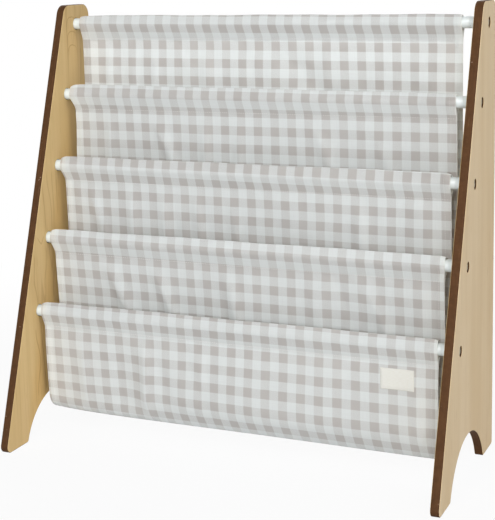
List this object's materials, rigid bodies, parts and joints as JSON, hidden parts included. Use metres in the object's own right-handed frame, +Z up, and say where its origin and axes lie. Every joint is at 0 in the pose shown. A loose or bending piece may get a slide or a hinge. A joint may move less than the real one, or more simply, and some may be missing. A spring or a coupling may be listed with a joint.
{
  "type": "sling bookshelf",
  "caption": "Low child's bookshelf: two tapered side boards joined by round rods that carry one sewn check cloth in hanging sling pockets.",
  "frame": {"origin": "middle of the base, on the floor, halfway across the width and the depth", "axes": "+X along the rods to the right seen from the front, +Y to the back, +Z up"},
  "size_m": [0.63, 0.274, 0.613],
  "materials": {
    "board_edge": "dark brown stained fibreboard edge, satin",
    "maple_veneer": "maple veneer, upright grain, satin lacquer",
    "rod_paint": "white powder coat",
    "rod_plug": "white moulded plug",
    "bolt_zinc": "zinc plated",
    "gingham_cloth": "plain-weave cotton, soft grey and white check",
    "patch_cloth": "blank cream twill"
  },
  "bodies": {
    "root": {"left_board": "board_edge", "left_inner_veneer": "maple_veneer", "left_outer_veneer": "maple_veneer", "right_board": "board_edge", "right_inner_veneer": "maple_veneer", "right_outer_veneer": "maple_veneer", "rod_1": "rod_paint", "rod_2": "rod_paint", "rod_3": "rod_paint", "rod_4": "rod_paint", "rod_5": "rod_paint", "left_plug_1": "rod_plug", "left_bolt_1": "bolt_zinc", "left_plug_2": "rod_plug", "left_bolt_2": "bolt_zinc", "left_plug_3": "rod_plug", "left_bolt_3": "bolt_zinc", "left_plug_4": "rod_plug", "left_bolt_4": "bolt_zinc", "left_plug_5": "rod_plug", "left_bolt_5": "bolt_zinc", "right_plug_1": "rod_plug", "right_bolt_1": "bolt_zinc", "right_plug_2": "rod_plug", "right_bolt_2": "bolt_zinc", "right_plug_3": "rod_plug", "right_bolt_3": "bolt_zinc", "right_plug_4": "rod_plug", "right_bolt_4": "bolt_zinc", "right_plug_5": "rod_plug", "right_bolt_5": "bolt_zinc", "sleeve_1": "gingham_cloth", "sleeve_2": "gingham_cloth", "sleeve_3": "gingham_cloth", "sleeve_4": "gingham_cloth", "sleeve_5": "gingham_cloth", "sling_1": "gingham_cloth", "sling_2": "gingham_cloth", "sling_3": "gingham_cloth", "sling_4": "gingham_cloth", "blank_patch": "patch_cloth"}
  },
  "joints": []
}
